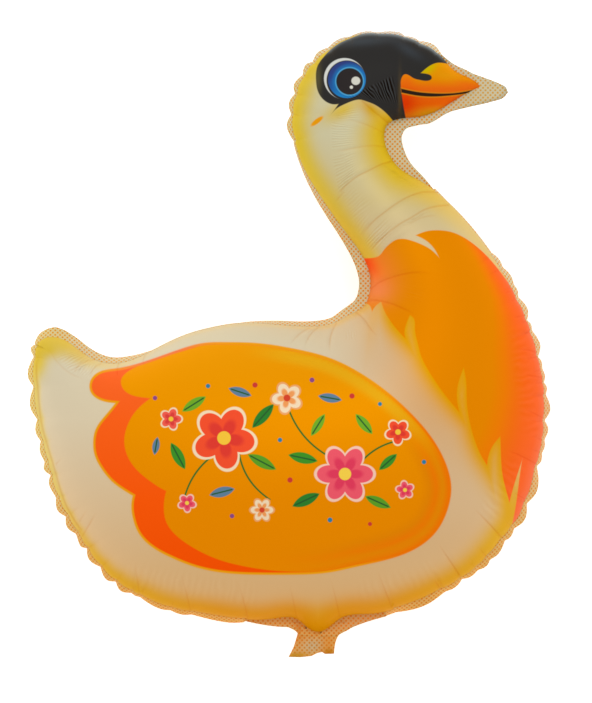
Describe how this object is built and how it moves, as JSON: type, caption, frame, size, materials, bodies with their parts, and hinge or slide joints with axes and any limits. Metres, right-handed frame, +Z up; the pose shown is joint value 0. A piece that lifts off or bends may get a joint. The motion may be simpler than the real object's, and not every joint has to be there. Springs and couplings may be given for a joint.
{
  "type": "swan foil balloon",
  "caption": "Blown-up foil balloon in the shape of a swan, lying on its back, with a flat puckered seam border all round and a filling tail under its belly.",
  "frame": {"origin": "on the surface that the balloon lies on, under the middle of its box", "axes": "+Z up out of the balloon's face, +Y from the filling tail to the crown, +X to the beak's side"},
  "size_m": [0.627, 0.7528, 0.2472],
  "materials": {
    "printed_foil": "printed metallised film, satin, with a dotted clear border"
  },
  "bodies": {
    "root": {"balloon": "printed_foil"}
  },
  "joints": []
}
